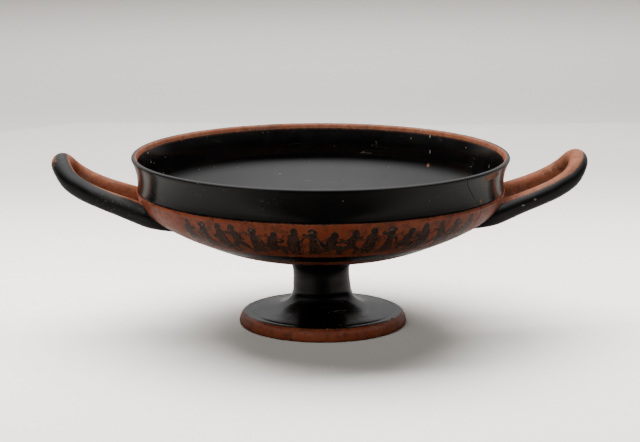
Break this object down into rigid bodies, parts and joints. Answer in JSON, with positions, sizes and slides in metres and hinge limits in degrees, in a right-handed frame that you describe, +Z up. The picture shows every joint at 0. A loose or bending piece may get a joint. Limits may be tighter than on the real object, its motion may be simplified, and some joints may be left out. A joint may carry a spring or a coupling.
{
  "type": "kylix cup",
  "caption": "Wide, shallow two-handled drinking cup of fired clay on a short stem and disc foot, black-glossed with a painted band of figures.",
  "frame": {"origin": "on the bowl's axis, in the plane of the foot's resting ring, midway between the handle ends", "axes": "+Z up along the bowl's axis, X through both handles, Y towards the back wall of the cup"},
  "size_m": [0.2692, 0.19, 0.0883],
  "materials": {
    "black_gloss": "fired black gloss slip over orange-red clay, glossy, worn at the edges"
  },
  "bodies": {
    "root": {"kylix": "black_gloss"}
  },
  "joints": []
}
